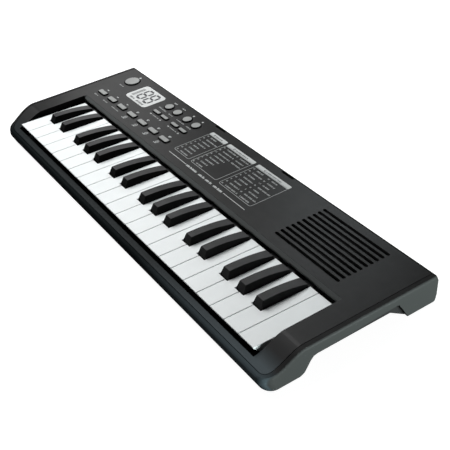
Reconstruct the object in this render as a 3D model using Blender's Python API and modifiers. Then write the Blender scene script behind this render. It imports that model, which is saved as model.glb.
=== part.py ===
"""Toy electronic keyboard: 37 small keys, a button panel, a display and a loudspeaker.

Metres, +Z up, +X from the bass end to the treble end, +Y from the player to the rear.
The origin is on the ground under the middle of the case.
Depths along Y are written as distances behind the front edge of the white keys, and
along() turns them into frame coordinates.
"""

import bmesh
import bpy
from math import cos, pi, sin
from mathutils import Vector

# ---- driving dimensions -----------------------------------------------------------
PITCH = 0.0166                 # one white key with its gap
WHITE_COUNT = 22               # three octaves and a top C
HALF_LENGTH = 12.45 * PITCH    # half of the case's length
KEY_FRONT = -0.0605            # Y of the white keys' front edge
CASE_HEIGHT = 0.0215           # top of the panel and the cheeks
RAIL_HEIGHT = 0.0129           # top of the low rail in front of the keys
GAP = 0.0003                   # clearance between parts that only touch

# ---- case -------------------------------------------------------------------------
RIM_WIDTH = 0.0044             # rim of the lower case outside the seam
SEAM = 0.0004                  # open line between the rim and the cover
BASS_FRONT_RADIUS = 0.0240     # corners of the case seen from above
TREBLE_FRONT_RADIUS = 0.0080
REAR_RADIUS = 0.0024
TIGHTEST_RADIUS = 0.0008
RIM_INSET = 0.0033             # how much tighter those corners are inside the rim
CURVE_START = -0.0025          # the S-shaped step from the rail up to the cheeks
CURVE_END = 0.0225
CURVE_STEPS = 20
FLANK_STEPS = 14
OPENING_HALF = 0.1848          # half width of the key opening
OPENING_FRONT = -0.0020
LIP_FRONT = 0.0650             # front edge of the panel above the keys
LIP_BEVEL = 0.0022
LIP_UNDER = 0.0178             # underside of that edge
PANEL_WALL = 0.0675            # rear face of the lip
COVER_UNDER = 0.0104           # lower edge of the cover's walls
FRONT_SEAM = -0.0072           # where the front rim ends and the cover starts
REAR_SEAM = 0.1280             # rear end of the cover, where the rear rim starts
POCKET_REAR = 0.1250           # rear wall of the cover's inside
CHEEK_POCKET = (0.1868, 0.1996)                   # inner and outer x of the hollow cheeks
PANEL_POCKET = 0.1872          # half width of the room under the panel
BEAM_FLOOR = 0.0020            # inner floor of the front and rear beams
BELLY_UNDER = 0.0088           # underside between the beams
BELLY_TOP = 0.0100
ARCH_DEPTH = 0.0034            # how far the arch is cut into each end wall
PAD_HEIGHT = 0.0005            # how far the rubber pads stand out of the underside
PAD_RADIUS = 0.0028
PADS = ((-0.2024, 0.0120), (0.2024, 0.0120), (-0.2010, 0.1120), (0.2010, 0.1120))

# ---- keys -------------------------------------------------------------------------
KEY_GAP = 0.0005
HINGE_Y = 0.0705
HINGE_Z = 0.0118
WHITE_TOP = 0.01707            # front edge of a white key's top
WHITE_REAR_TOP = 0.01573
WHITE_LENGTH = 0.0632          # the part of a white key that shows
BLACK_WIDTH = 0.0093
BLACK_TOP_WIDTH = 0.0072
BLACK_FRONT = 0.0239
BLACK_TOP_FRONT = 0.0267
BLACK_REAR = 0.0620
BLACK_TOP = 0.0222
BLACK_REAR_TOP = 0.0178
BLACK_BASE = 0.0165
BLACK_UNDER = 0.0135
NOTCH_FRONT = 0.0231
# black keys of one octave: white-key boundary and sideways shift, in pitches
OCTAVE = ((1, -0.10), (2, 0.10), (4, -0.16), (5, -0.01), (6, 0.16))

# ---- panel ------------------------------------------------------------------------
PANEL_THICK = 0.0020
BUTTON_PROUD = 0.0013
BUTTON_CORNER = 0.0012
BUTTON_CLEARANCE = 0.0009      # dark ring round every button
BUTTON_TRAVEL_ROOM = 0.0162    # lower end of the button stems
DISPLAY = (-0.1612, -0.1258, 0.0949, 0.1200)      # x0, x1, y0, y1
DISPLAY_CORNER = 0.0040
POWER = (-0.1785, 0.1127, 0.0070)                 # x, y, radius
ROUND_RADIUS = 0.0042
ROUND_Y = 0.1135
ROUND_X = (-0.1104, -0.0963, -0.0800, -0.0657)
STEP_SIZE = (0.0100, 0.0034)
STEP_Y = 0.1004
STEP_X = (-0.1098, -0.0966, -0.0793, -0.0663)
ROW_SIZE = (0.0122, 0.0047)
ROW_Y = 0.0811
ROW_FIRST = -0.1775
ROW_STEP = 0.01885
ROW_COUNT = 7
SLOT_COUNT = 10
SLOT_WIDTH = 0.0026
SLOT_X = (0.1005, 0.1708)
SLOT_Y = (0.0766, 0.1195)
STAND_SLOT = (0.0400, 0.0546, 0.1258)             # inner x, outer x, front y

# ---- inside -----------------------------------------------------------------------
BAY = (-0.0500, 0.1060, 0.1055, 0.1220, 0.0180)   # x0, x1, y0, y1, ceiling
DOOR_THICK = 0.0018
DOOR_UNDER = 0.0005
DOOR_FRONT = 0.1043            # front edge of the battery door
DOOR_PATH = 0.1000             # the tub is cut away for the sliding door from here
BOARD = (-0.1920, -0.0530, 0.0770, 0.1245, 0.0126, 0.0142)
CHIP = (-0.1450, -0.1310, 0.0860, 0.0940)         # x0, x1, y0, y1 on the board
RAIL_HALF = 0.1860             # half length of the strip that carries the keys
SPEAKER = (0.1356, 0.0980, 0.0255)                # x, y, radius
SOCKET_X = (-0.1500, -0.1330)
SOCKET_RADIUS = 0.0033
SOCKET_Z = 0.0085
SCREW_RADIUS = 0.0030          # recess for a screw head in the underside
SCREW_DEPTH = 0.0030
BOSS_RADIUS = 0.0048
BOSS_TOP = 0.0046
SCREWS = ((-0.1900, 0.0080), (-0.0930, 0.0060), (0.0, 0.0060), (0.0930, 0.0060),
          (0.1935, 0.0045), (-0.1935, 0.1150), (-0.1150, 0.1150), (0.1880, 0.1150))

COLOURS = {
    "charcoal": ((0.040, 0.041, 0.043), 0.55, 0.0),
    "white": ((0.80, 0.81, 0.80), 0.30, 0.0),
    "black": ((0.020, 0.020, 0.021), 0.42, 0.0),
    "grey": ((0.42, 0.42, 0.40), 0.50, 0.0),
    "display": ((0.58, 0.61, 0.59), 0.20, 0.0),
    "green": ((0.03, 0.12, 0.06), 0.60, 0.0),
    "paper": ((0.06, 0.06, 0.07), 0.80, 0.0),
}


def along(distance):
    """Frame Y of a place this far behind the white keys' front edge."""
    return KEY_FRONT + distance


def surface_height(distance):
    """Height of the rail, the S-shaped step and the cheeks at this depth."""
    part = (distance - CURVE_START) / (CURVE_END - CURVE_START)
    part = min(1.0, max(0.0, part))
    return RAIL_HEIGHT + (CASE_HEIGHT - RAIL_HEIGHT) * part * part * (3.0 - 2.0 * part)


def clear_scene():
    for old in list(bpy.data.objects):
        bpy.data.objects.remove(old, do_unlink=True)


def collection(name):
    made = bpy.data.collections.new(name)
    bpy.context.scene.collection.children.link(made)
    return made


def material(name):
    found = bpy.data.materials.get(name)
    if found:
        return found
    colour, roughness, metallic = COLOURS[name]
    made = bpy.data.materials.new(name)
    made.use_nodes = True
    shader = made.node_tree.nodes["Principled BSDF"]
    shader.inputs["Base Color"].default_value = (*colour, 1.0)
    shader.inputs["Roughness"].default_value = roughness
    shader.inputs["Metallic"].default_value = metallic
    made.diffuse_color = (*colour, 1.0)
    return made


def add_object(name, mesh, group, colour=None, origin=(0.0, 0.0, 0.0)):
    """Object with this mesh, whose points are given in the frame, and this origin."""
    shift = Vector(origin)
    for point in mesh.vertices:
        point.co -= shift
    made = bpy.data.objects.new(name, mesh)
    made.location = shift
    group.objects.link(made)
    if colour:
        mesh.materials.append(material(colour))
    return made


def mesh_from(build):
    """Mesh from a function that fills a bmesh, with its faces pointing out."""
    work = bmesh.new()
    build(work)
    bmesh.ops.recalc_face_normals(work, faces=work.faces)
    mesh = bpy.data.meshes.new("shape")
    work.to_mesh(mesh)
    work.free()
    return mesh


def box_mesh(x0, x1, y0, y1, z0, z1):
    def build(work):
        made = bmesh.ops.create_cube(work, size=1.0)
        for vert in made["verts"]:
            vert.co = Vector((
                x0 if vert.co.x < 0 else x1,
                y0 if vert.co.y < 0 else y1,
                z0 if vert.co.z < 0 else z1,
            ))
    return mesh_from(build)


def prism_mesh(outline, sweep):
    """Solid whose flat outline of 3-D points is pushed along the vector sweep."""
    def build(work):
        face = work.faces.new([work.verts.new(point) for point in outline])
        made = bmesh.ops.extrude_face_region(work, geom=[face])
        moved = [part for part in made["geom"] if isinstance(part, bmesh.types.BMVert)]
        bmesh.ops.translate(work, verts=moved, vec=sweep)
    return mesh_from(build)


def side_prism(profile, x0, x1):
    """Solid from a profile of (depth, height) points, swept from x0 to x1."""
    outline = [(x0, along(depth), height) for depth, height in profile]
    return prism_mesh(outline, (x1 - x0, 0.0, 0.0))


def plan_prism(outline, z0, z1):
    """Solid from an outline of (x, y) points, standing from z0 to z1."""
    return prism_mesh([(x, y, z0) for x, y in outline], (0.0, 0.0, z1 - z0))


def arc(centre_x, centre_y, radius, start, end, steps):
    """Points on an arc, with the angles in quarter turns."""
    points = []
    for step in range(steps + 1):
        angle = (start + (end - start) * step / steps) * pi / 2.0
        points.append((centre_x + radius * cos(angle), centre_y + radius * sin(angle)))
    return points


def rounded_rectangle(x0, x1, y0, y1, radius, steps=3):
    points = []
    corners = ((x1, y0, -1, 1), (x1, y1, -1, -1), (x0, y1, 1, -1), (x0, y0, 1, 1))
    for turn, (corner_x, corner_y, side_x, side_y) in enumerate(corners):
        centre = (corner_x + side_x * radius, corner_y + side_y * radius)
        points += arc(*centre, radius, turn - 1, turn, steps)
    return points


def stadium(x0, x1, y, width, steps=4):
    radius = width / 2.0
    points = arc(x1 - radius, y, radius, -1, 1, steps)
    return points + arc(x0 + radius, y, radius, 1, 3, steps)


def case_flank(half_x, front, rear, front_radius, rear_radius, corner_steps):
    """Treble half of the case's outline, from the front corner to the rear one.

    The flank carries extra points over the S-shaped step, so that a ring lifted to
    the surface follows it.
    """
    corner_end = along(front) + front_radius
    step_end = along(CURVE_END + 0.002)
    half = arc(half_x - front_radius, corner_end, front_radius, -1, 0, corner_steps)
    length = (step_end - corner_end) / FLANK_STEPS
    half += [(half_x, corner_end + length * (step + 1)) for step in range(FLANK_STEPS)]
    half += arc(half_x - rear_radius, along(rear) - rear_radius, rear_radius, 0, 1, 5)
    return half


def case_outline(half_x, front, rear, inset=0.0):
    """Outline of the case seen from above, always with the same number of points.

    The front corner at the bass end is much rounder than the one at the treble end.
    """
    rear_radius = max(REAR_RADIUS - inset, TIGHTEST_RADIUS)
    treble = case_flank(half_x, front, rear, TREBLE_FRONT_RADIUS - inset, rear_radius, 7)
    bass = case_flank(half_x, front, rear, BASS_FRONT_RADIUS - inset, rear_radius, 12)
    return treble + [(-x, y) for x, y in reversed(bass)]


def loft_mesh(rings):
    """Closed solid through rings of equally many points, capped at both ends."""
    def build(work):
        rows = [[work.verts.new(point) for point in ring] for ring in rings]
        count = len(rows[0])
        for low, high in zip(rows, rows[1:]):
            for here in range(count):
                after = (here + 1) % count
                work.faces.new((low[here], low[after], high[after], high[here]))
        work.faces.new(list(reversed(rows[0])))
        work.faces.new(rows[-1])
    return mesh_from(build)


def combine(target, operation, mesh, cutters, label):
    """Boolean of the target with one more solid, kept as a modifier."""
    cutter = add_object(label, mesh, cutters)
    cutter.hide_render = True
    cutter.display_type = "WIRE"
    step = target.modifiers.new(label, "BOOLEAN")
    step.operation = operation
    step.solver = "EXACT"
    step.object = cutter


def join_cutters(meshes):
    """One mesh from several that don't touch each other."""
    work = bmesh.new()
    for mesh in meshes:
        work.from_mesh(mesh)
    joined = bpy.data.meshes.new("joined")
    work.to_mesh(joined)
    work.free()
    return joined


# ---- the case ---------------------------------------------------------------------
def make_lower_case(parts, cutters):
    """Tub with a rim: a front beam, a raised belly and a rear beam on end walls."""
    def ring(half_x, front, rear, height, inset=0.0):
        outline = case_outline(half_x, front, rear, inset)
        return [(x, y, height(y - KEY_FRONT)) for x, y in outline]

    def flat(z):
        return lambda depth: z

    def below_surface(drop):
        return lambda depth: surface_height(depth) - drop

    inner = HALF_LENGTH - RIM_WIDTH
    rings = [
        ring(HALF_LENGTH - 0.0010, -0.0064, 0.1264, flat(PAD_HEIGHT), 0.0016),
        ring(HALF_LENGTH - 0.0004, -0.0071, 0.1280, flat(PAD_HEIGHT + 0.0004), 0.0005),
        ring(HALF_LENGTH - 0.0001, -0.0079, 0.1290, flat(0.0018)),
        ring(HALF_LENGTH, -0.0099, 0.1300, flat(0.0062)),
        ring(HALF_LENGTH, -0.0110, 0.1308, below_surface(0.0044)),
        ring(HALF_LENGTH - 0.0002, -0.0108, 0.1300, below_surface(0.0020)),
        ring(HALF_LENGTH - 0.0006, -0.0104, 0.1294, below_surface(0.0008), 0.0004),
        ring(HALF_LENGTH - 0.0013, -0.0094, 0.1286, below_surface(0.0001), 0.0014),
        ring(inner, FRONT_SEAM, REAR_SEAM, below_surface(0.0), RIM_INSET),
        ring(inner, FRONT_SEAM, REAR_SEAM, flat(COVER_UNDER - GAP), RIM_INSET),
        ring(inner, -0.0050, REAR_SEAM - 0.0010, flat(0.0080), RIM_INSET),
        ring(inner, -0.0040, REAR_SEAM - 0.0020, flat(BEAM_FLOOR), RIM_INSET),
    ]
    case = add_object("lower_case", loft_mesh(rings), parts, "charcoal")

    bridge = [(0.0172, 0.001), (0.0250, BELLY_TOP), (0.1012, BELLY_TOP), (0.1075, 0.001)]
    combine(case, "UNION", side_prism(bridge, -0.2035, 0.2035), cutters, "belly_form")
    bay_x0, bay_x1, bay_y0, bay_y1, ceiling = BAY
    wall = 0.0014
    bay = box_mesh(bay_x0 - wall, bay_x1 + wall, along(bay_y0 - wall), along(bay_y1 + wall),
                   0.0006, ceiling + 0.0012)
    combine(case, "UNION", bay, cutters, "battery_bay_form")
    channel = [(0.0208, -0.002), (0.0208, 0.0003), (0.0269, BELLY_UNDER),
               (0.0912, BELLY_UNDER), (0.1042, 0.0003), (0.1042, -0.002)]
    reach = HALF_LENGTH + 0.005
    combine(case, "DIFFERENCE", side_prism(channel, -reach, reach), cutters, "belly_channel")
    arch = [(0.0168, -0.002), (0.0170, 0.0012), (0.0202, 0.0030), (0.0226, 0.0066),
            (0.0250, 0.0101), (0.0274, 0.0124), (0.0310, 0.0132), (0.0550, 0.0137),
            (0.0720, 0.0146), (0.0940, 0.0155), (0.0958, 0.0150), (0.0990, 0.0098),
            (0.1040, 0.0006), (0.1042, -0.002)]
    depth = HALF_LENGTH - ARCH_DEPTH
    arches = [side_prism(arch, depth, reach), side_prism(arch, -reach, -depth)]
    combine(case, "DIFFERENCE", join_cutters(arches), cutters, "end_arches")

    door_x0 = bay_x0 - 0.0020
    door_x1 = bay_x1 + 0.0020
    recess = box_mesh(door_x0, door_x1, along(DOOR_PATH), along(bay_y1 + 0.0023), -0.002,
                      DOOR_UNDER + DOOR_THICK + GAP)
    combine(case, "DIFFERENCE", recess, cutters, "door_recess")
    hollow = box_mesh(bay_x0, bay_x1, along(bay_y0), along(bay_y1), 0.0010, ceiling)
    combine(case, "DIFFERENCE", hollow, cutters, "battery_bay")
    holes = [socket_cutter(x) for x in SOCKET_X]
    combine(case, "DIFFERENCE", join_cutters(holes), cutters, "socket_holes")
    bosses = [post(x, depth, BOSS_RADIUS, 0.0010, BOSS_TOP) for x, depth in SCREWS]
    combine(case, "UNION", join_cutters(bosses), cutters, "screw_bosses")
    recesses = [post(x, depth, SCREW_RADIUS, -0.0010, SCREW_DEPTH) for x, depth in SCREWS]
    combine(case, "DIFFERENCE", join_cutters(recesses), cutters, "screw_recesses")
    pads = [post(x, depth, PAD_RADIUS, 0.0, 0.0020) for x, depth in PADS]
    combine(case, "UNION", join_cutters(pads), cutters, "rubber_pads")
    return case


def post(x, depth, radius, z0, z1):
    """Upright cylinder."""
    return plan_prism(arc(x, along(depth), radius, 0, 4, 16)[:-1], z0, z1)


def socket_cutter(x):
    """Round hole through the rear wall, for one socket."""
    outline = arc(x, SOCKET_Z, SOCKET_RADIUS, 0, 4, 20)[:-1]
    points = [(px, along(0.1230), pz) for px, pz in outline]
    return prism_mesh(points, (0.0, 0.0120, 0.0))


def make_upper_case(parts, cutters):
    """Cover inside the rim: rail, cheeks and panel, with all its openings."""
    rise = (CURVE_END - CURVE_START) / CURVE_STEPS
    depths = [CURVE_START + rise * step for step in range(CURVE_STEPS + 1)]
    top = [(-0.0100, RAIL_HEIGHT)] + [(depth, surface_height(depth)) for depth in depths]
    top.append((0.1400, CASE_HEIGHT))
    profile = top + [(0.1400, COVER_UNDER), (-0.0100, COVER_UNDER)]
    half_x = HALF_LENGTH - RIM_WIDTH - SEAM
    cover = add_object("upper_case", side_prism(profile, -0.2100, 0.2100), parts, "charcoal")
    outline = case_outline(half_x, FRONT_SEAM + SEAM, REAR_SEAM - SEAM, RIM_INSET + SEAM)
    combine(cover, "INTERSECT", plan_prism(outline, 0.0, 0.03), cutters, "cover_outline")

    inside = [(depth, surface_height(depth) - PANEL_THICK) for depth in depths if depth > 0.006]
    pocket = [(inside[0][0], 0.0)] + inside
    pocket += [(POCKET_REAR, CASE_HEIGHT - PANEL_THICK), (POCKET_REAR, 0.0)]
    inner, outer = CHEEK_POCKET
    pockets = [side_prism(pocket, x0, x1) for x0, x1 in ((-outer, -inner), (inner, outer))]
    combine(cover, "DIFFERENCE", join_cutters(pockets), cutters, "cheek_pockets")
    panel = box_mesh(-PANEL_POCKET, PANEL_POCKET, along(PANEL_WALL), along(POCKET_REAR), 0.0,
                     CASE_HEIGHT - PANEL_THICK)
    combine(cover, "DIFFERENCE", panel, cutters, "panel_pocket")

    lip_top = CASE_HEIGHT - LIP_BEVEL
    above = 0.0040
    well = [(OPENING_FRONT, 0.0), (LIP_FRONT, 0.0), (LIP_FRONT, lip_top),
            (LIP_FRONT + LIP_BEVEL + above, CASE_HEIGHT + above),
            (OPENING_FRONT, CASE_HEIGHT + above)]
    combine(cover, "DIFFERENCE", side_prism(well, -OPENING_HALF, OPENING_HALF), cutters,
            "key_opening")
    tails = box_mesh(-OPENING_HALF, OPENING_HALF, along(LIP_FRONT - 0.001),
                     along(PANEL_WALL + 0.001), 0.0, LIP_UNDER)
    combine(cover, "DIFFERENCE", tails, cutters, "key_tail_room")

    low = CASE_HEIGHT - PANEL_THICK - 0.001
    high = CASE_HEIGHT + 0.001
    holes = [plan_prism(outline, low, high) for outline in panel_holes()]
    combine(cover, "DIFFERENCE", join_cutters(holes), cutters, "panel_holes")
    return cover


def grow(size, amount):
    return size[0] + 2 * amount, size[1] + 2 * amount


def button_plan():
    """Name, outline maker and centre of every button, from the bass end."""
    plan = [("power_button", POWER[0], POWER[1], POWER[2])]
    for number, x in enumerate(ROUND_X, 1):
        plan.append((f"round_button_{number}", x, ROUND_Y, ROUND_RADIUS))
    for number, x in enumerate(STEP_X, 1):
        plan.append((f"step_button_{number}", x, STEP_Y, STEP_SIZE))
    for number in range(ROW_COUNT):
        x = ROW_FIRST + ROW_STEP * number
        plan.append((f"function_button_{number + 1}", x, ROW_Y, ROW_SIZE))
    return plan


def button_outline(x, depth, shape, amount):
    """Outline of a button grown by this amount: a circle or a rounded rectangle."""
    y = along(depth)
    if isinstance(shape, float):
        return arc(x, y, shape + amount, 0, 4, 24)[:-1]
    width, height = grow(shape, amount)
    return rounded_rectangle(x - width / 2, x + width / 2, y - height / 2, y + height / 2,
                             BUTTON_CORNER + amount)


def panel_holes():
    """Outlines of everything that is cut through the panel."""
    holes = [button_outline(x, depth, shape, BUTTON_CLEARANCE)
             for name, x, depth, shape in button_plan()]
    x0, x1, y0, y1 = DISPLAY
    holes.append(rounded_rectangle(x0 - GAP, x1 + GAP, along(y0) - GAP, along(y1) + GAP,
                                   DISPLAY_CORNER + GAP, 6))
    for number in range(SLOT_COUNT):
        depth = SLOT_Y[0] + (SLOT_Y[1] - SLOT_Y[0]) * number / (SLOT_COUNT - 1)
        holes.append(stadium(SLOT_X[0], SLOT_X[1], along(depth), SLOT_WIDTH))
    inner, outer, front = STAND_SLOT
    for x0, x1 in ((-outer, -inner), (inner, outer)):
        holes.append([(x0, along(front)), (x1, along(front)),
                      (x1, along(REAR_SEAM + 0.002)), (x0, along(REAR_SEAM + 0.002))])
    return holes


# ---- the keys ---------------------------------------------------------------------
def black_centres():
    """X of every black key, in pitches from the bass end of the keys."""
    centres = []
    for octave in range(3):
        centres += [octave * 7 + boundary + shift for boundary, shift in OCTAVE]
    return centres


def key_x(pitches):
    return (pitches - WHITE_COUNT / 2) * PITCH


def make_white_key(number, parts, cutters):
    """Hollow-fronted key: a thin lip, a skirt set back under it and a hinge tail."""
    x0 = key_x(number - 1) + KEY_GAP / 2
    x1 = key_x(number) - KEY_GAP / 2
    profile = [
        (0.0, WHITE_TOP), (0.0, WHITE_TOP - 0.0011), (0.0060, 0.0100), (0.0072, 0.0088),
        (0.0120, 0.0088), (0.0128, 0.0146), (0.0540, 0.0137), (0.0585, 0.0118),
        (HINGE_Y - GAP, 0.0110), (HINGE_Y - GAP, 0.0128), (WHITE_LENGTH, 0.0133),
        (WHITE_LENGTH, WHITE_REAR_TOP),
    ]
    hinge = ((x0 + x1) / 2, along(HINGE_Y), HINGE_Z)
    name = f"white_key_{number:02d}"
    key = add_object(name, side_prism(profile, x0, x1), parts, "white", hinge)
    half = BLACK_WIDTH / 2 + KEY_GAP
    for centre in black_centres():
        x = key_x(centre)
        if x0 - half < x < x1 + half:
            notch = box_mesh(x - half, x + half, along(NOTCH_FRONT), along(0.075), 0.008, 0.020)
            combine(key, "DIFFERENCE", notch, cutters, f"{name}_notch_{int(centre * 10)}")
    return key


def make_black_key(number, centre, parts, cutters):
    """Raised key: a sloping front, tapering sides and a top that falls to the rear."""
    x = key_x(centre)
    steps = 9
    span = BLACK_REAR - BLACK_TOP_FRONT
    crown = []
    for step in range(steps + 1):
        part = step / steps
        drop = (BLACK_TOP - BLACK_REAR_TOP) * part ** 2.1
        crown.append((BLACK_TOP_FRONT + span * part, BLACK_TOP - drop))
    upper = [(BLACK_FRONT, BLACK_BASE)] + crown + [(BLACK_REAR, BLACK_BASE)]
    mesh = side_prism(upper, x - BLACK_WIDTH / 2, x + BLACK_WIDTH / 2)
    taper = (BLACK_WIDTH - BLACK_TOP_WIDTH) / 2 / (BLACK_TOP - BLACK_BASE)
    for point in mesh.vertices:
        side = 1.0 if point.co.x > x else -1.0
        point.co.x -= side * taper * (point.co.z - BLACK_BASE)
    hinge = (x, along(HINGE_Y), HINGE_Z)
    name = f"black_key_{number:02d}"
    key = add_object(name, mesh, parts, "black", hinge)
    lower = [
        (BLACK_FRONT, BLACK_BASE), (BLACK_FRONT, BLACK_UNDER), (0.0540, BLACK_UNDER),
        (0.0585, 0.0118), (HINGE_Y - GAP, 0.0110), (HINGE_Y - GAP, 0.0128),
        (BLACK_REAR, 0.0133), (BLACK_REAR, BLACK_BASE),
    ]
    stem = side_prism(lower, x - BLACK_WIDTH / 2, x + BLACK_WIDTH / 2)
    combine(key, "UNION", stem, cutters, f"{name}_stem")
    return key


# ---- the buttons and the display --------------------------------------------------
def make_button(name, x, depth, shape, parts, cutters):
    """Cap with softened edges on a wider flange that stays under the panel."""
    top = CASE_HEIGHT + BUTTON_PROUD
    under_panel = CASE_HEIGHT - PANEL_THICK - GAP
    levels = (
        (BUTTON_TRAVEL_ROOM, -0.0010), (under_panel - 0.0010, -0.0010),
        (under_panel - 0.0010, 0.0014), (under_panel, 0.0014), (under_panel, 0.0),
        (top - 0.0005, 0.0), (top - 0.0001, -0.0004), (top, -0.0009),
    )
    rings = []
    for height, amount in levels:
        rings.append([(px, py, height) for px, py in button_outline(x, depth, shape, amount)])
    return add_object(name, loft_mesh(rings), parts, "grey", (x, along(depth), CASE_HEIGHT))


def make_display(parts):
    x0, x1, y0, y1 = DISPLAY
    outline = rounded_rectangle(x0, x1, along(y0), along(y1), DISPLAY_CORNER, 6)
    mesh = plan_prism(outline, CASE_HEIGHT - 0.0019, CASE_HEIGHT - 0.0001)
    return add_object("display_window", mesh, parts, "display")


# ---- the inside -------------------------------------------------------------------
def make_key_rail(parts):
    """Moulded strip behind the hinge tails that carries all the keys."""
    profile = [
        (HINGE_Y + GAP, BELLY_TOP + GAP), (0.0755, BELLY_TOP + GAP), (0.0755, 0.0150),
        (0.0730, 0.0150), (0.0722, 0.0140), (HINGE_Y + GAP, 0.0140),
    ]
    return add_object("key_rail", side_prism(profile, -RAIL_HALF, RAIL_HALF), parts, "black")


def make_main_board(parts, cutters):
    """Circuit board under the panel, with a chip and a switch dome below every button."""
    x0, x1, y0, y1, z0, z1 = BOARD
    board = add_object("main_board", box_mesh(x0, x1, along(y0), along(y1), z0, z1), parts,
                       "green")
    domes = []
    for name, x, depth, shape in button_plan():
        outline = arc(x, along(depth), 0.0018, 0, 4, 10)[:-1]
        domes.append(plan_prism(outline, z1 - 0.0005, z1 + 0.0007))
    x0, x1, y0, y1 = CHIP
    domes.append(box_mesh(x0, x1, along(y0), along(y1), z1 - 0.0005, z1 + 0.0015))
    combine(board, "UNION", join_cutters(domes), cutters, "switch_domes")
    return board


def make_speaker(parts):
    """Flat loudspeaker turned about its own axis: magnet, basket, rim and cone."""
    x, depth, radius = SPEAKER
    base = BELLY_TOP + 0.0006
    profile = [
        (0.0, base + 0.0062), (0.0070, base + 0.0070), (0.0080, base + 0.0050),
        (radius - 0.0040, base + 0.0074), (radius - 0.0020, base + 0.0084), (radius, base + 0.0084),
        (radius, base + 0.0070), (0.0130, base + 0.0036), (0.0130, base), (0.0, base),
    ]
    work = bmesh.new()
    points = [work.verts.new((along_r, 0.0, height)) for along_r, height in profile]
    for first, second in zip(points, points[1:]):
        work.edges.new((first, second))
    mesh = bpy.data.meshes.new("speaker_profile")
    work.to_mesh(mesh)
    work.free()
    speaker = bpy.data.objects.new("speaker", mesh)
    speaker.location = (x, along(depth), 0.0)
    parts.objects.link(speaker)
    mesh.materials.append(material("paper"))
    turn = speaker.modifiers.new("turn", "SCREW")
    turn.steps = 32
    turn.render_steps = 32
    turn.use_merge_vertices = True
    turn.merge_threshold = 0.00001
    turn.use_normal_calculate = True
    return speaker


def make_battery_door(parts, cutters):
    """Flat cover under the rear beam, with a ribbed thumb rest."""
    x0 = BAY[0] - 0.0016
    x1 = BAY[1] + 0.0016
    y0 = along(DOOR_FRONT)
    y1 = along(BAY[3] + 0.0019)
    top = DOOR_UNDER + DOOR_THICK
    door = add_object("battery_door", box_mesh(x0, x1, y0, y1, DOOR_UNDER, top), parts, "charcoal")
    middle = (x0 + x1) / 2
    grooves = []
    for number in range(5):
        x = middle + (number - 2) * 0.0030
        grooves.append(box_mesh(x - 0.0007, x + 0.0007, y0 + 0.0030, y0 + 0.0110, 0.0,
                                DOOR_UNDER + 0.0006))
    combine(door, "DIFFERENCE", join_cutters(grooves), cutters, "door_grooves")
    return door


def shade_round(group):
    """Smooth shading on every part, sharp where faces meet at more than 35 degrees."""
    for made in group.objects:
        made.data.shade_smooth()
        made.data.set_sharp_from_angle(angle=35.0 * pi / 180.0)


def main():
    clear_scene()
    parts = collection("toy_keyboard")
    cutters = collection("cutters")
    make_lower_case(parts, cutters)
    make_upper_case(parts, cutters)
    make_key_rail(parts)
    for number in range(1, WHITE_COUNT + 1):
        make_white_key(number, parts, cutters)
    for number, centre in enumerate(black_centres(), 1):
        make_black_key(number, centre, parts, cutters)
    for name, x, depth, shape in button_plan():
        make_button(name, x, depth, shape, parts, cutters)
    make_display(parts)
    make_main_board(parts, cutters)
    make_speaker(parts)
    make_battery_door(parts, cutters)
    shade_round(parts)


main()
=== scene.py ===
"""Looks of the toy keyboard: the finish of every part, the printed marks, the display and small fittings.

Metres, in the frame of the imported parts: +X towards the treble end, +Y towards the rear, +Z up.
Places on the panel are distances from the middle of the case and behind the white keys' front edge.
"""

import math

import bmesh
import bpy
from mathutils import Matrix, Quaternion, Vector


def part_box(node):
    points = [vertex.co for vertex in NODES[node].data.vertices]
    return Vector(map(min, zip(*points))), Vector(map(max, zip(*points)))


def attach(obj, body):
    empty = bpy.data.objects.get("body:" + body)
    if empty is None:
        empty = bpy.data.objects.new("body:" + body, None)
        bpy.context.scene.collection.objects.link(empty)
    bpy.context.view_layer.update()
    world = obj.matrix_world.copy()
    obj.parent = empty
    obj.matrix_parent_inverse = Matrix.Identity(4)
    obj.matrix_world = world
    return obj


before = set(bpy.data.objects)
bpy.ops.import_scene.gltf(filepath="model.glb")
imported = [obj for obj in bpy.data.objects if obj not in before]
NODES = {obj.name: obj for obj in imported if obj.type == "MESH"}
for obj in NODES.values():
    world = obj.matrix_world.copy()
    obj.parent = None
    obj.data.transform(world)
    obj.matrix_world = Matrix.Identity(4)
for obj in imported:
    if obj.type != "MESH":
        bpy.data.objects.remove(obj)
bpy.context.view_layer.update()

MM = 0.001

# ---- the camera, on the side that the photograph was taken from ---------------------
CAMERA_AZIMUTH = 60.11
CAMERA_ELEVATION = 35.83
CAMERA_ROLL = -5.97
CAMERA_DISTANCE = 0.6654
CAMERA_TARGET = Vector((0.04513, 0.00765, 0.00034))
CAMERA_LENS = 70.13

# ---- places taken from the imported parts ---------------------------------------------
PANEL_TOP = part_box("upper_case")[1].z
BUTTON_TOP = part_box("power_button")[1].z
KEYS_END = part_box("white_key_22")[1].x + 2.6 * MM     # just outside the key opening
KEY_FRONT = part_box("white_key_01")[0].y
END_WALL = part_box("lower_case")[1].x - 1.0 * MM       # where the outer faces of the end walls start
WHITE_KEYS = sorted(name for name in NODES if name.startswith("white_key_"))
BLACK_KEYS = sorted(name for name in NODES if name.startswith("black_key_"))
ROUND_BUTTONS = sorted(name for name in NODES if name.startswith("round_button_"))
STEP_BUTTONS = sorted(name for name in NODES if name.startswith("step_button_"))
ROW_BUTTONS = sorted(name for name in NODES if name.startswith("function_button_"))
BUTTONS = ["power_button"] + ROUND_BUTTONS + STEP_BUTTONS + ROW_BUTTONS

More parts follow.
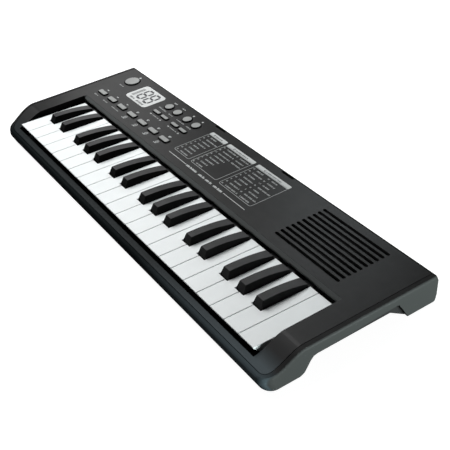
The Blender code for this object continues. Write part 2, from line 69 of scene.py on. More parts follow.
# ---- finishes, painted shade and painted light ---------------------------------------
CASE_COLOUR = (0.0165, 0.0165, 0.0165)
# painted light: the end walls are made paler where light falls on them
LIT_END_WALL_COLOUR = (0.028, 0.0295, 0.0285)
CURVE_COLOUR = (0.025, 0.025, 0.0255)
# painted highlight on the bevelled lip of the panel above the keys
LIP_HIGHLIGHT_COLOUR = (0.078, 0.084, 0.083)
# painted shade darkening the rail in front of the keys
RAIL_SHADE_COLOUR = (0.0065, 0.0100, 0.0110)
# painted shade darkening the front rim and front wall of the tub
RIM_SHADE_COLOUR = (0.0020, 0.0040, 0.0045)
# painted light: the rail and the front rim are made paler and bluer towards the treble end
TREBLE_LIGHT_COLOUR = (0.060, 0.078, 0.087)
WHITE_COLOUR = (0.74, 0.77, 0.77)
BLACK_COLOUR = (0.046, 0.046, 0.047)
SHADED_BLACK_COLOUR = (0.002, 0.002, 0.002)
# painted shade for the walls of the key opening, the white keys' tails and the sides of the buttons
PAINTED_SHADE_COLOUR = (0.0012, 0.0012, 0.0013)
BUTTON_COLOUR = (0.235, 0.24, 0.235)
DISPLAY_COLOUR = (0.275, 0.287, 0.283)
SEGMENT_COLOUR = (0.012, 0.014, 0.018)
FAINT_SEGMENT_COLOUR = (0.06, 0.064, 0.064)
INK_COLOUR = (0.30, 0.31, 0.307)
BRIGHT_INK_COLOUR = (0.42, 0.435, 0.43)
BOARD_COLOUR = (0.03, 0.14, 0.06)
PAPER_COLOUR = (0.004, 0.004, 0.004)
STEEL_COLOUR = (0.62, 0.62, 0.60)
FLOOR_COLOUR = (0.86, 0.86, 0.86)

# ---- edges of the finishes and of the painted shade and light, behind the white keys' front edge unless said otherwise --
RAIL_REAR = -1.95 * MM         # rear edge of the rail's top
CHEEKS_FOOT = (-2.0 * MM, 9.0 * MM)                  # the rail's painted shade and light fade out over this
CORNERS = (-7.5 * MM, 2.0 * MM)                      # the front rim's painted shade and light fade out over this
LIP = (64.8 * MM, 67.1 * MM)
TAILS = 64.5 * MM              # white keys are painted black as shade behind this
WELL_FADE = (-0.12, 0.16)      # X over which each painted shade and light fades, from the bass end
RAIL_FADE = (0.06, 0.19)
RIM_FADE = (0.05, 0.20)
KEY_SIDE_FADE = (-0.05, 0.18)
PANEL_SKIN = 0.4 * MM          # depth of the panel's own finish below its top
CAP_SKIN = 0.35 * MM           # height of the pale top of a button
PAD_HEIGHT = 0.45 * MM

# ---- printed marks -------------------------------------------------------------------
INK_THICK = 0.05 * MM
INK_SUNK = 0.03 * MM
POWER_LABEL = 101.4 * MM       # places of the marks, behind the white keys' front edge
ROW_SIGNS = 87.2 * MM
ROW_LABELS = 74.8 * MM
ROUND_SIGNS = 121.3 * MM
ROUND_LABELS = 107.0 * MM
STEP_SIGNS = 95.3 * MM
HEADLINE = 75.0 * MM
DIGITS = 101.3 * MM
SIDE_MARKS = 100.4 * MM
FRONT_MARKS = 97.7 * MM
SIDE_MARK_PITCH = 1.2 * MM


def along(distance):
    """Frame Y of a place this far behind the white keys' front edge."""
    return KEY_FRONT + distance


# ======================================================================================
# materials
# ======================================================================================
def new_material(name):
    """Empty Principled material, its node list, its links and its shader."""
    made = bpy.data.materials.new(name)
    made.use_nodes = True
    tree = made.node_tree
    return made, tree.nodes, tree.links, tree.nodes["Principled BSDF"]


def noise(nodes, links, size, detail=2.0, roughness=0.5):
    """Noise with features of about this size in metres, fixed to the part it is on."""
    coordinates = nodes.new("ShaderNodeTexCoord")
    texture = nodes.new("ShaderNodeTexNoise")
    texture.inputs["Scale"].default_value = 1.0 / size
    texture.inputs["Detail"].default_value = detail
    texture.inputs["Roughness"].default_value = roughness
    links.new(coordinates.outputs["Object"], texture.inputs["Vector"])
    return texture.outputs["Fac"]


def spread(nodes, links, source, low, high, lowest=0.3, highest=0.7):
    """Number from low to high as the source goes from lowest to highest."""
    change = nodes.new("ShaderNodeMapRange")
    change.inputs["From Min"].default_value = lowest
    change.inputs["From Max"].default_value = highest
    change.inputs["To Min"].default_value = low
    change.inputs["To Max"].default_value = high
    links.new(source, change.inputs["Value"])
    return change.outputs["Result"]


def tint(nodes, links, factor, first, second):
    """Colour from first to second by the factor, which is a socket from 0 to 1."""
    mix = nodes.new("ShaderNodeMix")
    mix.data_type = "RGBA"
    links.new(factor, mix.inputs["Factor"])
    for socket, value in ((mix.inputs[6], first), (mix.inputs[7], second)):
        if isinstance(value, tuple):
            socket.default_value = (*value, 1.0)
        else:
            links.new(value, socket)
    return mix.outputs[2]


def scaled(colour, amount):
    return tuple(part * amount for part in colour)


def moulded(name, colour, roughness, grain=0.45 * MM, relief=0.02 * MM, mottle=0.10, specular=0.15,
            coat=0.0, coat_roughness=0.1):
    """Moulded plastic: fine spark-eroded grain, slow mottling and an uneven sheen."""
    made, nodes, links, shader = new_material(name)
    slow = noise(nodes, links, 9.0 * MM, 3.0)
    fine = noise(nodes, links, grain, 2.0)
    factor = spread(nodes, links, slow, 0.0, 1.0)
    base = tint(nodes, links, factor, scaled(colour, 1.0 - mottle), scaled(colour, 1.0 + mottle))
    links.new(base, shader.inputs["Base Color"])
    links.new(spread(nodes, links, fine, roughness * 0.9, roughness * 1.1), shader.inputs["Roughness"])
    shader.inputs["Specular IOR Level"].default_value = specular
    shader.inputs["Coat Weight"].default_value = coat
    shader.inputs["Coat Roughness"].default_value = coat_roughness
    bump = nodes.new("ShaderNodeBump")
    bump.inputs["Strength"].default_value = 0.5
    bump.inputs["Distance"].default_value = relief
    links.new(fine, bump.inputs["Height"])
    links.new(bump.outputs["Normal"], shader.inputs["Normal"])
    return made


def position(nodes, links):
    """X, Y and Z of the point that is shaded, in the frame."""
    coordinates = nodes.new("ShaderNodeTexCoord")
    split = nodes.new("ShaderNodeSeparateXYZ")
    links.new(coordinates.outputs["Object"], split.inputs[0])
    return split.outputs["X"], split.outputs["Y"], split.outputs["Z"]


def compare(nodes, links, operation, value, limit):
    test = nodes.new("ShaderNodeMath")
    test.operation = operation
    test.inputs[1].default_value = limit
    links.new(value, test.inputs[0])
    return test.outputs[0]


def product(nodes, links, *values):
    """Product of several sockets."""
    result = values[0]
    for value in values[1:]:
        times = nodes.new("ShaderNodeMath")
        times.operation = "MULTIPLY"
        links.new(result, times.inputs[0])
        links.new(value, times.inputs[1])
        result = times.outputs[0]
    return result


def repaint(material, where, colour, roughness=None):
    """Blend the finish towards another colour and sheen by the socket that where(...) makes."""
    nodes = material.node_tree.nodes
    links = material.node_tree.links
    shader = nodes["Principled BSDF"]
    base = shader.inputs["Base Color"]
    before = base.links[0].from_socket
    factor = where(nodes, links, *position(nodes, links))
    links.new(tint(nodes, links, factor, before, colour), base)
    if roughness:
        sheen = shader.inputs["Roughness"]
        mix = nodes.new("ShaderNodeMix")
        links.new(factor, mix.inputs["Factor"])
        links.new(sheen.links[0].from_socket, mix.inputs["A"])
        mix.inputs["B"].default_value = roughness
        links.new(mix.outputs["Result"], sheen)


def key_well(nodes, links, x, y, z):
    """Walls of the key opening: painted black as shade at the bass end, as the rest of the cover at the
    treble end.
    """
    return product(nodes, links,
                   compare(nodes, links, "LESS_THAN", x, KEYS_END),
                   compare(nodes, links, "GREATER_THAN", x, -KEYS_END),
                   compare(nodes, links, "GREATER_THAN", y, along(RAIL_REAR)),
                   compare(nodes, links, "LESS_THAN", y, along(LIP[0])),
                   spread(nodes, links, x, 1.0, 0.0, *WELL_FADE))


def front_rail(nodes, links, x, y, z):
    """Rail in front of the keys, up to the foot of the cheeks: the region painted darker as shade, and paler
    towards the treble end as light.
    """
    return spread(nodes, links, y, 1.0, 0.0, along(CHEEKS_FOOT[0]), along(CHEEKS_FOOT[1]))


def treble_rail(nodes, links, x, y, z):
    """Treble half of the rail, painted slowly paler towards its end as light falling there."""
    return product(nodes, links, front_rail(nodes, links, x, y, z),
                   spread(nodes, links, x, 0.0, 0.9, *RAIL_FADE))


def below_panel(nodes, links, x, y, z):
    """Curved steps and rail below the level of the panel, which have a rougher grain."""
    return compare(nodes, links, "LESS_THAN", z, PANEL_TOP - PANEL_SKIN)


def lip_highlight(nodes, links, x, y, z):
    """Bevelled edge of the panel above the keys, painted paler as a highlight."""
    return product(nodes, links,
                   compare(nodes, links, "LESS_THAN", x, KEYS_END),
                   compare(nodes, links, "GREATER_THAN", x, -KEYS_END),
                   compare(nodes, links, "GREATER_THAN", y, along(LIP[0])),
                   compare(nodes, links, "LESS_THAN", y, along(LIP[1])))


def front_rim(nodes, links, x, y, z):
    """Front rim and front wall of the tub, up to its corners: the region painted darker as shade, and paler
    towards the treble end as light.
    """
    return spread(nodes, links, y, 1.0, 0.0, along(CORNERS[0]), along(CORNERS[1]))


def treble_rim(nodes, links, x, y, z):
    """Treble half of that rim, painted slowly paler towards its end as light falling there."""
    return product(nodes, links, front_rim(nodes, links, x, y, z),
                   spread(nodes, links, x, 0.0, 0.85, *RIM_FADE))


def black_key_shade(nodes, links, x, y, z):
    """Sides and fronts of the black keys, painted blacker than their satin tops as shade."""
    geometry = nodes.new("ShaderNodeNewGeometry")
    split = nodes.new("ShaderNodeSeparateXYZ")
    links.new(geometry.outputs["Normal"], split.inputs[0])
    return product(nodes, links,
                   spread(nodes, links, split.outputs["Z"], 1.0, 0.0, 0.45, 0.85),
                   spread(nodes, links, x, 1.0, 0.35, *KEY_SIDE_FADE))


def button_sides(nodes, links, x, y, z):
    """Sides of the button caps, below their pale tops, painted dark as shade."""
    return compare(nodes, links, "LESS_THAN", z, BUTTON_TOP - CAP_SKIN)


def lit_end_walls(nodes, links, x, y, z):
    """Outer faces of the two end walls, below the rim, painted paler as the light falling on them."""
    size = nodes.new("ShaderNodeMath")
    size.operation = "ABSOLUTE"
    links.new(x, size.inputs[0])
    return spread(nodes, links, size.outputs[0], 0.0, 1.0, END_WALL - 0.6 * MM, END_WALL + 0.3 * MM)


def key_tails(nodes, links, x, y, z):
    """Rear ends of the white keys, painted black as the shade under the lip so that nothing pale shows
    there.
    """
    return compare(nodes, links, "GREATER_THAN", y, along(TAILS))


def rubber_pads(nodes, links, x, y, z):
    return compare(nodes, links, "LESS_THAN", z, PAD_HEIGHT)


def metal(name, colour, roughness):
    """Plated steel with fine scratches in its sheen."""
    made, nodes, links, shader = new_material(name)
    fine = noise(nodes, links, 0.3 * MM, 4.0)
    slow = noise(nodes, links, 2.0 * MM)
    factor = spread(nodes, links, slow, 0.0, 1.0)
    base = tint(nodes, links, factor, scaled(colour, 0.85), colour)
    links.new(base, shader.inputs["Base Color"])
    links.new(spread(nodes, links, fine, roughness * 0.7, roughness * 1.3), shader.inputs["Roughness"])
    shader.inputs["Metallic"].default_value = 1.0
    return made


def make_finishes():
    made = {
        "upper": moulded("charcoal_panel", CASE_COLOUR, 0.36, specular=0.08),
        "lower": moulded("charcoal_tub", CASE_COLOUR, 0.42, specular=0.03),
        "door": moulded("charcoal_door", CASE_COLOUR, 0.46, specular=0.08),
        "white": moulded("white_key_gloss", WHITE_COLOUR, 0.34, 1.5 * MM, 0.004 * MM, 0.015, 0.25),
        "black": moulded("black_key_satin", BLACK_COLOUR, 0.42, 0.40 * MM, 0.012 * MM, 0.12, 0.05),
        "button": moulded("button_grey", BUTTON_COLOUR, 0.50, 0.50 * MM, 0.015 * MM, 0.05),
        "display": moulded("display_window", DISPLAY_COLOUR, 0.22, 1.2 * MM, 0.002 * MM, 0.03, 0.5, 0.6),
        "segment": moulded("display_segment", SEGMENT_COLOUR, 0.35, 0.6 * MM, 0.001 * MM, 0.10),
        "faint": moulded("display_faint", FAINT_SEGMENT_COLOUR, 0.35, 0.6 * MM, 0.001 * MM, 0.10),
        "ink": moulded("print_grey", INK_COLOUR, 0.60, 0.25 * MM, 0.002 * MM, 0.08),
        "bright_ink": moulded("print_pale", BRIGHT_INK_COLOUR, 0.60, 0.25 * MM, 0.002 * MM, 0.05),
        # dark ink for printed marks, also used as painted shade for the screws' cross recesses
        "dark_ink_and_shade": moulded("print_dark_and_shade", scaled(CASE_COLOUR, 1.2), 0.55, 0.25 * MM, 0.002 * MM, 0.05),
        "board": moulded("board_mask", BOARD_COLOUR, 0.35, 2.0 * MM, 0.01 * MM, 0.15),
        "paper": moulded("speaker_cone", PAPER_COLOUR, 0.80, 0.6 * MM, 0.03 * MM, 0.20),
        "rail": moulded("key_rail_black", scaled(BLACK_COLOUR, 1.2), 0.55),
        "steel": metal("plated_steel", STEEL_COLOUR, 0.30),
    }
    repaint(made["upper"], below_panel, CURVE_COLOUR, 0.55)
    # painted highlight on the lip above the keys
    repaint(made["upper"], lip_highlight, LIP_HIGHLIGHT_COLOUR)
    # painted shade on the rail in front of the keys
    repaint(made["upper"], front_rail, RAIL_SHADE_COLOUR)
    # painted light on the treble half of the rail
    repaint(made["upper"], treble_rail, TREBLE_LIGHT_COLOUR)
    # painted shade on the walls of the key opening
    repaint(made["upper"], key_well, PAINTED_SHADE_COLOUR, 0.9)
    # painted shade on the front rim and front wall
    repaint(made["lower"], front_rim, RIM_SHADE_COLOUR, 0.7)
    # painted light on the treble half of the front rim
    repaint(made["lower"], treble_rim, TREBLE_LIGHT_COLOUR)
    # painted light on the outer faces of the end walls
    repaint(made["lower"], lit_end_walls, LIT_END_WALL_COLOUR)
    repaint(made["lower"], rubber_pads, BLACK_COLOUR)
    # painted shade on the white keys' tails under the lip
    repaint(made["white"], key_tails, PAINTED_SHADE_COLOUR)
    # painted shade on the sides and fronts of the black keys
    repaint(made["black"], black_key_shade, SHADED_BLACK_COLOUR, 0.7)
    # painted shade on the sides of the buttons
    repaint(made["button"], button_sides, PAINTED_SHADE_COLOUR, 0.9)
    return made


# ======================================================================================
# CAD parts
# ======================================================================================
def refine(name, finish, edge, segments=2, angle=30.0):
    """Rounded edges, smooth shading and a finish for a CAD part."""
    node = NODES[name]
    node.data.shade_smooth()
    if "custom_normal" in node.data.attributes:
        node.data.attributes.remove(node.data.attributes["custom_normal"])
    weld = node.modifiers.new("weld", "WELD")
    weld.merge_threshold = 0.000005
    flat = node.modifiers.new("flat_faces", "DECIMATE")
    flat.decimate_type = "DISSOLVE"
    flat.angle_limit = math.radians(0.4)
    if edge:
        bevel = node.modifiers.new("soft_edges", "BEVEL")
        bevel.width = edge
        bevel.segments = segments
        bevel.limit_method = "ANGLE"
        bevel.angle_limit = math.radians(angle)
        bevel.use_clamp_overlap = True
        bevel.harden_normals = False
    weighted = node.modifiers.new("flat_shading", "WEIGHTED_NORMAL")
    weighted.keep_sharp = False
    weighted.weight = 80
    for slot in node.material_slots:
        slot.material = finish
    return node


def refine_parts(finishes):
    refine("upper_case", finishes["upper"], 0.25 * MM)
    refine("lower_case", finishes["lower"], 0.25 * MM)
    refine("battery_door", finishes["door"], 0.25 * MM)
    refine("display_window", finishes["display"], 0.10 * MM)
    refine("main_board", finishes["board"], 0.0)
    refine("speaker", finishes["paper"], 0.0)
    refine("key_rail", finishes["rail"], 0.2 * MM)
    for name in WHITE_KEYS:
        refine(name, finishes["white"], 0.30 * MM, 3)
    for name in BLACK_KEYS:
        refine(name, finishes["black"], 0.35 * MM, 3)
    for name in BUTTONS:
        refine(name, finishes["button"], 0.10 * MM)


# ======================================================================================
# printed marks
# ======================================================================================
def rounded_outline(x0, x1, y0, y1, radius, steps=4):
    """Corner points of a rounded rectangle, anticlockwise from the front right."""
    radius = min(radius, (x1 - x0) / 2.001, (y1 - y0) / 2.001)
    points = []
    corners = ((x1 - radius, y0 + radius), (x1 - radius, y1 - radius),
               (x0 + radius, y1 - radius), (x0 + radius, y0 + radius))
    for turn, (centre_x, centre_y) in enumerate(corners):
        for step in range(steps + 1):
            angle = math.radians(90.0 * (turn - 1 + step / steps))
            points.append((centre_x + radius * math.cos(angle), centre_y + radius * math.sin(angle)))
    return points


def disc_outline(x, y, radius, steps=18):
    turns = [2.0 * math.pi * step / steps for step in range(steps)]
    return [(x + radius * math.cos(turn), y + radius * math.sin(turn)) for turn in turns]


class Print:
    """Thin raised shapes on one level, gathered into one mesh."""

    def __init__(self, level):
        self.work = bmesh.new()
        self.low = level - INK_SUNK
        self.high = level + INK_THICK

    def solid(self, outline):
        """Filled shape."""
        lower = [self.work.verts.new((x, y, self.low)) for x, y in outline]
        upper = [self.work.verts.new((x, y, self.high)) for x, y in outline]
        self.work.faces.new(upper)
        self.work.faces.new(list(reversed(lower)))
        self.wall(lower, upper)

    def wall(self, lower, upper):
        count = len(lower)
        for here in range(count):
            after = (here + 1) % count
            self.work.faces.new((lower[here], lower[after], upper[after], upper[here]))

    def hoop(self, outer, inner):
        """Closed line between two outlines with the same number of points."""
        rows = [[self.work.verts.new((x, y, z)) for x, y in outline]
                for outline, z in ((outer, self.low), (outer, self.high),
                                   (inner, self.high), (inner, self.low))]
        for low, high in zip(rows, rows[1:] + rows[:1]):
            self.wall(low, high)

    def bar(self, x0, x1, y0, y1, radius=0.2 * MM):
        self.solid(rounded_outline(x0, x1, y0, y1, radius))

    def dot(self, x, y, radius):
        self.solid(disc_outline(x, y, radius))

    def ring(self, x, y, radius, width):
        self.hoop(disc_outline(x, y, radius), disc_outline(x, y, radius - width))

    def frame(self, x0, x1, y0, y1, radius, width):
        self.hoop(rounded_outline(x0, x1, y0, y1, radius),
                  rounded_outline(x0 + width, x1 - width, y0 + width, y1 - width, radius - width))

    def words(self, x0, x1, y, height, stroke=0.55 * MM, gap=0.38 * MM, seed=0):
        """Row of plain strokes in uneven groups, in place of lettering."""
        x = x0
        count = 0
        while x + stroke <= x1:
            tall = (count * 7 + seed * 3) % 4
            trim = height * (0.0, 0.18, 0.08, 0.24)[tall]
            width = stroke * (1.0, 0.8, 1.25, 0.9)[(count + seed) % 4]
            self.bar(x, min(x + width, x1), y - height / 2, y + height / 2 - trim, 0.12 * MM)
            x += width + gap
            count += 1
            if (count + seed * 2) % 6 == 5:
                x += 1.6 * gap

    def finish(self, name, finish, body="case"):
        bmesh.ops.recalc_face_normals(self.work, faces=self.work.faces)
        mesh = bpy.data.meshes.new(name)
        self.work.to_mesh(mesh)
        self.work.free()
        made = bpy.data.objects.new(name, mesh)
        bpy.context.scene.collection.objects.link(made)
        mesh.materials.append(finish)
        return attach(made, body)


def centre_of(name):
    low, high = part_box(name)
    return (low.x + high.x) / 2, (low.y + high.y) / 2


def power_marks(finishes):
    """Small pale dot behind the power button and a faint label in front of it."""
    x, y = centre_of("power_button")
    dot = Print(PANEL_TOP)
    dot.dot(x - 1.0 * MM, y + 9.3 * MM, 1.1 * MM)
    dot.finish("power_mark", finishes["bright_ink"])
    label = Print(PANEL_TOP)
    label.words(x - 4.1 * MM, x + 2.8 * MM, along(POWER_LABEL), 1.3 * MM)
    label.finish("power_label", finishes["ink"])


def row_marks(finishes):
    """Signs behind the row of seven buttons, and their labels in front."""
    signs = Print(PANEL_TOP)
    labels = Print(PANEL_TOP)
    sign_y = along(ROW_SIGNS)
    label_y = along(ROW_LABELS)
    spans = ((-4.4, 2.6), (-5.4, 2.6), (-7.0, 5.6), (-3.4, 1.6), (-2.8, 1.0), (-2.8, 1.0), (-2.8, 1.0))
    for number, (name, (start, end)) in enumerate(zip(ROW_BUTTONS, spans)):
        x = centre_of(name)[0] - 1.0 * MM
        if number < 3:
            signs.bar(x - 1.5 * MM, x + 1.2 * MM, sign_y - 0.5 * MM, sign_y + 0.4 * MM)
            labels.words(x + start * MM, x + end * MM, label_y, 1.2 * MM, seed=number)
        else:
            signs.dot(x, sign_y, 1.15 * MM)
            signs.bar(x - 0.1 * MM, x + 1.9 * MM, sign_y - 0.2 * MM, sign_y + 0.9 * MM, 0.4 * MM)
            labels.ring(x, label_y, 1.9 * MM, 0.6 * MM)
            labels.dot(x, label_y, 0.7 * MM)
            labels.bar(x + start * MM, x + end * MM, label_y - 2.5 * MM, label_y - 1.9 * MM)
    signs.finish("function_signs", finishes["bright_ink"])
    labels.finish("function_labels", finishes["ink"])


def round_marks(finishes):
    """Marks behind the four round buttons and labels in front of them."""
    signs = Print(PANEL_TOP)
    labels = Print(PANEL_TOP)
    sign_y = along(ROUND_SIGNS)
    label_y = along(ROUND_LABELS)
    widths = (4.6, 5.2, 1.8, 1.8)
    spans = ((-7.0, 5.0), (-4.6, 2.6), (-7.0, 5.4), (-5.2, 2.0))
    for number, (name, width, (start, end)) in enumerate(zip(ROUND_BUTTONS, widths, spans)):
        x = centre_of(name)[0]
        sign_x = x - 1.4 * MM
        if number < 2:
            signs.words(sign_x - width / 2 * MM, sign_x + width / 2 * MM, sign_y, 1.4 * MM, seed=number)
        else:
            signs.dot(sign_x, sign_y, width / 2 * MM)
        labels.words(x + start * MM, x + end * MM, label_y, 1.3 * MM, seed=number)
    signs.finish("round_button_signs", finishes["bright_ink"])
    labels.finish("round_button_labels", finishes["ink"])


def step_marks(finishes):
    """Minus and plus signs beside the two pairs of step buttons, joined by dashes."""
    signs = Print(PANEL_TOP)
    dashes = Print(PANEL_TOP)
    y = along(STEP_SIGNS)
    arm = 1.1 * MM
    half = 0.32 * MM
    for pair in (STEP_BUTTONS[:2], STEP_BUTTONS[2:]):
        minus_x = centre_of(pair[0])[0] - 2.4 * MM
        plus_x = centre_of(pair[1])[0] + 0.7 * MM
        signs.bar(minus_x - arm, minus_x + arm, y - half * 1.5, y + half * 1.5)
        signs.bar(plus_x - arm, plus_x + arm, y - half, y + half)
        signs.bar(plus_x - half, plus_x + half, y + half, y + arm)
        signs.bar(plus_x - half, plus_x + half, y - arm, y - half)
        dashes.words(minus_x + 3.0 * MM, plus_x - 2.6 * MM, y, 1.1 * MM, seed=2)
    signs.finish("step_signs", finishes["bright_ink"])
    dashes.finish("step_dashes", finishes["ink"])


# each table, in millimetres: left edge, right edge, and for each of its columns the left end
# of its rows and their lengths from the front
TABLE_FRONT = 80.2
TABLE_HEAD = 114.9
TABLE_REAR = 119.3
ROW_FIRST = 82.6
ROW_PITCH = 4.27
TABLES = (
    (-46.9, -23.9, (
        (-40.0, (11.0, 11.6, 10.2, 7.8, 11.0, 11.2, 15.4, 7.6)),
    )),
    (-21.0, 16.7, (
        (-15.0, (9.6, 10.2, 12.6, 13.0, 15.0, 13.6, 12.4, 12.8)),
        (3.4, (0.0, 0.0, 0.0, 0.0, 0.0, 12.4, 10.4, 11.6)),
    )),
    (20.4, 63.3, (
        (27.2, (13.6, 12.0, 9.0, 11.6, 12.8, 9.4, 12.2, 8.0)),
        (46.6, (12.8, 15.2, 11.0, 8.0, 15.2, 8.4, 9.6, 7.4)),
    )),
)


def song_tables(finishes):
    """Three ruled tables with a pale head; plain strokes stand for their lists."""
    rules = Print(PANEL_TOP)
    heads = Print(PANEL_TOP)
    rows = Print(PANEL_TOP)
    head_marks = Print(PANEL_TOP + INK_THICK)
    front = along(TABLE_FRONT * MM)
    rear = along(TABLE_REAR * MM)
    head = along(TABLE_HEAD * MM)
    for number, (left, right, columns) in enumerate(TABLES):
        x0 = left * MM
        x1 = right * MM
        rules.frame(x0, x1, front, head + 0.8 * MM, 2.2 * MM, 0.40 * MM)
        heads.bar(x0, x1, head, rear, 1.1 * MM)
        mark_x = x0 + (x1 - x0) * 0.25
        head_y = (head + rear) / 2
        head_marks.ring(mark_x, head_y, 1.0 * MM, 0.4 * MM)
        head_marks.words(mark_x + 2.2 * MM, x1 - (x1 - x0) * 0.22, head_y, 1.2 * MM, seed=number)
        for start, lengths in columns:
            for row, length in enumerate(lengths):
                if not length:
                    continue
                y = along((ROW_FIRST + ROW_PITCH * row) * MM)
                rows.words((start - 4.9) * MM, (start - 2.9) * MM, y, 1.5 * MM, seed=row)
                rows.words(start * MM, (start + length) * MM, y, 1.5 * MM, seed=row + number)
    rules.finish("table_rules", finishes["ink"])
    heads.finish("table_heads", finishes["bright_ink"])
    rows.finish("table_rows", finishes["ink"])
    head_marks.finish("table_head_marks", finishes["dark_ink_and_shade"])


def headline(finishes):
    """Long rule in front of the tables, broken by four groups of bold strokes."""
    rule = Print(PANEL_TOP)
    bold = Print(PANEL_TOP)
    y = along(HEADLINE)
    half = 0.26 * MM
    rule.bar(-45.4 * MM, -18.6 * MM, y - half, y + half)
    rule.bar(35.4 * MM, 64.0 * MM, y - half, y + half)
    for start, end in ((-17.7, -1.0), (0.4, 9.2), (10.6, 20.4), (21.8, 34.4)):
        bold.words(start * MM, end * MM, y, 2.0 * MM, 1.25 * MM, 0.40 * MM, seed=1)
    rule.finish("headline_rule", finishes["bright_ink"])
    bold.finish("headline_strokes", finishes["bright_ink"])


# ======================================================================================
# display
# ======================================================================================
SEGMENT_GAP = 0.22              # between the ends of two segments, in widths of a segment


def segment(piece, x0, y0, x1, y1, width):
    """Hexagonal bar of a seven-segment digit from one corner to the next."""
    start = Vector((x0, y0))
    end = Vector((x1, y1))
    ahead = (end - start).normalized()
    side = Vector((-ahead.y, ahead.x)) * width / 2
    gap = width * SEGMENT_GAP
    start = start + ahead * gap
    end = end - ahead * gap
    inset = ahead * width * 0.5
    points = [start, start + inset - side, end - inset - side, end, end - inset + side, start + inset + side]
    piece.solid([(point.x, point.y) for point in points])


def display_marks(finishes):
    """Two dark seven-segment digits, and faint unlit marks at the side and the front."""
    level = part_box("display_window")[1].z
    digits = Print(level)
    width = 7.6 * MM
    half_height = 7.6 * MM
    thick = 2.1 * MM
    base_y = along(DIGITS)
    for left in (-150.6 * MM, -138.8 * MM):
        right = left + width
        rows = [base_y, base_y + half_height, base_y + 2 * half_height]
        segment(digits, left, rows[0], right, rows[0], thick)
        segment(digits, left, rows[2], right, rows[2], thick)
        for low_y, high_y in zip(rows, rows[1:]):
            segment(digits, left, low_y, left, high_y, thick)
            segment(digits, right, low_y, right, high_y, thick)
        segment(digits, left, rows[1], right, rows[1], thick)
    digits.finish("display_digits", finishes["segment"])
    faint = Print(level)
    for step in range(12):
        y = along(SIDE_MARKS + SIDE_MARK_PITCH * step)
        faint.bar(-158.0 * MM, -154.4 * MM, y, y + 0.7 * MM, 0.1 * MM)
    y = along(FRONT_MARKS)
    faint.words(-155.0 * MM, -146.5 * MM, y, 2.2 * MM, 0.7 * MM, 0.35 * MM)
    faint.words(-143.5 * MM, -130.6 * MM, y, 2.2 * MM, 0.7 * MM, 0.35 * MM, 1)
    faint.finish("display_faint_marks", finishes["faint"])


# ======================================================================================
# small fittings
# ======================================================================================
SCREW_CEILING = 3.0 * MM       # inner end of the recesses in the underside
SCREW_PLACES = ((-190.0, 8.0), (-93.0, 6.0), (0.0, 6.0), (93.0, 6.0), (193.5, 4.5),
                (-193.5, 115.0), (-115.0, 115.0), (188.0, 115.0))
SCREW_PROFILE = ((2.55, 0.05), (2.55, -0.45), (2.25, -0.85), (1.60, -1.05))
SOCKET_PLACES = (-150.0, -133.0)
SOCKET_LEVEL = 8.5 * MM


def fitting(work, name, finish):
    """Make one piece of the case from a finished mesh."""
    bmesh.ops.recalc_face_normals(work, faces=work.faces)
    mesh = bpy.data.meshes.new(name)
    work.to_mesh(mesh)
    work.free()
    mesh.shade_smooth()
    mesh.set_sharp_from_angle(angle=math.radians(35.0))
    made = bpy.data.objects.new(name, mesh)
    bpy.context.scene.collection.objects.link(made)
    mesh.materials.append(finish)
    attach(made, "case")


def stack(work, rings, closed):
    """Walls between rings of points, and caps on the two ends, or one tube if closed."""
    rows = [[work.verts.new(point) for point in ring] for ring in rings]
    count = len(rows[0])
    pairs = list(zip(rows, rows[1:]))
    if closed:
        pairs.append((rows[-1], rows[0]))
    else:
        work.faces.new(rows[0])
        work.faces.new(list(reversed(rows[-1])))
    for first, second in pairs:
        for here in range(count):
            after = (here + 1) % count
            work.faces.new((first[here], first[after], second[after], second[here]))


def screws(finishes):
    """Domed screw heads in the recesses of the underside, each with a cross painted dark as the shade of its
    recess.
    """
    heads = bmesh.new()
    crosses = bmesh.new()
    face = SCREW_CEILING + SCREW_PROFILE[-1][1] * MM
    for place_x, place_y in SCREW_PLACES:
        x = place_x * MM
        y = along(place_y * MM)
        stack(heads, [[(px, py, SCREW_CEILING + drop * MM) for px, py in disc_outline(x, y, radius * MM, 24)]
                      for radius, drop in SCREW_PROFILE], False)
        long_arm = 1.30 * MM
        arm = 0.28 * MM
        corners = ((long_arm, -arm), (long_arm, arm), (arm, arm), (arm, long_arm), (-arm, long_arm),
                   (-arm, arm), (-long_arm, arm), (-long_arm, -arm), (-arm, -arm), (-arm, -long_arm),
                   (arm, -long_arm), (arm, -arm))
        stack(crosses, [[(x + dx, y + dy, face + rise) for dx, dy in corners]
                        for rise in (0.04 * MM, -0.03 * MM)], False)
    fitting(heads, "screw_heads", finishes["steel"])
    # painted shade: dark crosses standing for the shade in the screws' cross recesses
    fitting(crosses, "screw_crosses", finishes["dark_ink_and_shade"])


def socket_sleeves(finishes):
    """Metal sleeves lining the two sockets in the rear wall."""
    sleeves = bmesh.new()
    for place in SOCKET_PLACES:
        rings = []
        for depth, radius in ((125.0, 3.28), (130.2, 3.28), (130.4, 3.10), (130.2, 2.80), (125.0, 2.75)):
            rings.append([(x, along(depth * MM), z)
                          for x, z in disc_outline(place * MM, SOCKET_LEVEL, radius * MM, 32)])
        stack(sleeves, rings, True)
    fitting(sleeves, "socket_sleeves", finishes["steel"])


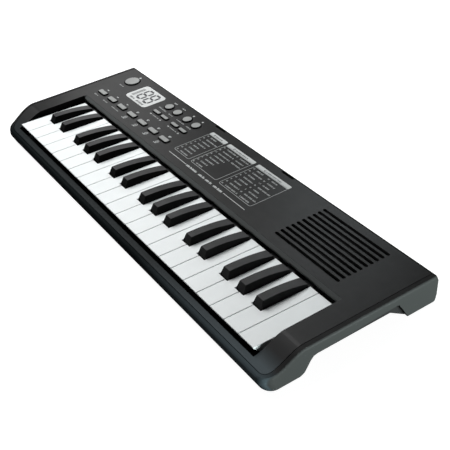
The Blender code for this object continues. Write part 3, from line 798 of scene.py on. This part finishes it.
# ======================================================================================
# camera, light and floor
# ======================================================================================
def make_camera():
    azimuth = math.radians(CAMERA_AZIMUTH)
    elevation = math.radians(CAMERA_ELEVATION)
    back = Vector((math.sin(azimuth) * math.cos(elevation),
                   -math.cos(azimuth) * math.cos(elevation), math.sin(elevation)))
    data = bpy.data.cameras.new("camera")
    data.lens = CAMERA_LENS
    data.sensor_width = 36.0
    camera = bpy.data.objects.new("camera", data)
    bpy.context.scene.collection.objects.link(camera)
    camera.rotation_mode = "QUATERNION"
    turn = back.to_track_quat("Z", "Y")
    camera.rotation_quaternion = turn @ Quaternion((0.0, 0.0, 1.0), math.radians(CAMERA_ROLL))
    camera.location = CAMERA_TARGET + back * CAMERA_DISTANCE
    data.clip_start = 0.01
    bpy.context.scene.camera = camera


def softbox(name, place, target, size, power, colour=(1.0, 1.0, 1.0)):
    data = bpy.data.lights.new(name, "AREA")
    data.shape = "RECTANGLE"
    data.size = size[0]
    data.size_y = size[1]
    data.energy = power
    data.color = colour
    lamp = bpy.data.objects.new(name, data)
    bpy.context.scene.collection.objects.link(lamp)
    lamp.location = place
    lamp.visible_camera = False
    lamp.rotation_euler = (Vector(place) - Vector(target)).to_track_quat("Z", "Y").to_euler()


def make_lights():
    softbox("key_light", (-0.42, 0.02, 0.66), (-0.12, 0.0, 0.0), (0.60, 0.60), 8.0)
    softbox("bass_sheen", (-0.44, 0.15, 0.17), (-0.16, 0.04, 0.0), (0.14, 0.14), 0.16)
    softbox("treble_sheen", (-0.13, 0.26, 0.25), (0.10, 0.05, 0.0), (0.14, 0.14), 0.26, (0.88, 0.97, 1.0))
    softbox("side_light", (0.95, 0.22, 0.011), (0.2, 0.0, 0.01), (0.50, 0.02), 19.0, (0.90, 1.0, 1.0))
    softbox("rear_light", (0.10, 0.95, 0.22), (0.0, 0.06, 0.01), (0.70, 0.25), 1.6)
    world = bpy.data.worlds.new("studio")
    bpy.context.scene.world = world
    world.use_nodes = True
    nodes = world.node_tree.nodes
    links = world.node_tree.links
    background = nodes["Background"]
    background.inputs["Color"].default_value = (1.0, 1.0, 1.0, 1.0)
    path = nodes.new("ShaderNodeLightPath")
    links.new(spread(nodes, links, path.outputs["Is Camera Ray"], 0.02, 0.97, 0.0, 1.0),
              background.inputs["Strength"])


def make_floor():
    """Pale sweep that reads as white to the camera and lights the object only a little."""
    mesh = bpy.data.meshes.new("floor")
    reach = 6.0
    level = -0.2 * MM
    corners = [(-reach, -reach, level), (reach, -reach, level),
               (reach, reach, level), (-reach, reach, level)]
    mesh.from_pydata(corners, [], [(0, 1, 2, 3)])
    floor = bpy.data.objects.new("floor", mesh)
    bpy.context.scene.collection.objects.link(floor)
    made, nodes, links, shader = new_material("floor_pale")
    shader.inputs["Base Color"].default_value = (*scaled(FLOOR_COLOUR, 0.35), 1.0)
    shader.inputs["Roughness"].default_value = 0.8
    shader.inputs["Specular IOR Level"].default_value = 0.0
    glow = nodes.new("ShaderNodeEmission")
    glow.inputs["Strength"].default_value = 0.97
    path = nodes.new("ShaderNodeLightPath")
    seen = nodes.new("ShaderNodeMixShader")
    empty = nodes.new("ShaderNodeEmission")
    empty.inputs["Strength"].default_value = 0.0
    links.new(path.outputs["Is Camera Ray"], seen.inputs["Fac"])
    links.new(empty.outputs[0], seen.inputs[1])
    links.new(glow.outputs[0], seen.inputs[2])
    both = nodes.new("ShaderNodeAddShader")
    links.new(shader.outputs[0], both.inputs[0])
    links.new(seen.outputs[0], both.inputs[1])
    links.new(both.outputs[0], nodes["Material Output"].inputs["Surface"])
    mesh.materials.append(made)


def main():
    finishes = make_finishes()
    refine_parts(finishes)
    power_marks(finishes)
    row_marks(finishes)
    round_marks(finishes)
    step_marks(finishes)
    song_tables(finishes)
    headline(finishes)
    display_marks(finishes)
    screws(finishes)
    socket_sleeves(finishes)
    make_camera()
    make_lights()
    make_floor()
    bpy.context.scene.view_settings.view_transform = "Standard"


main()
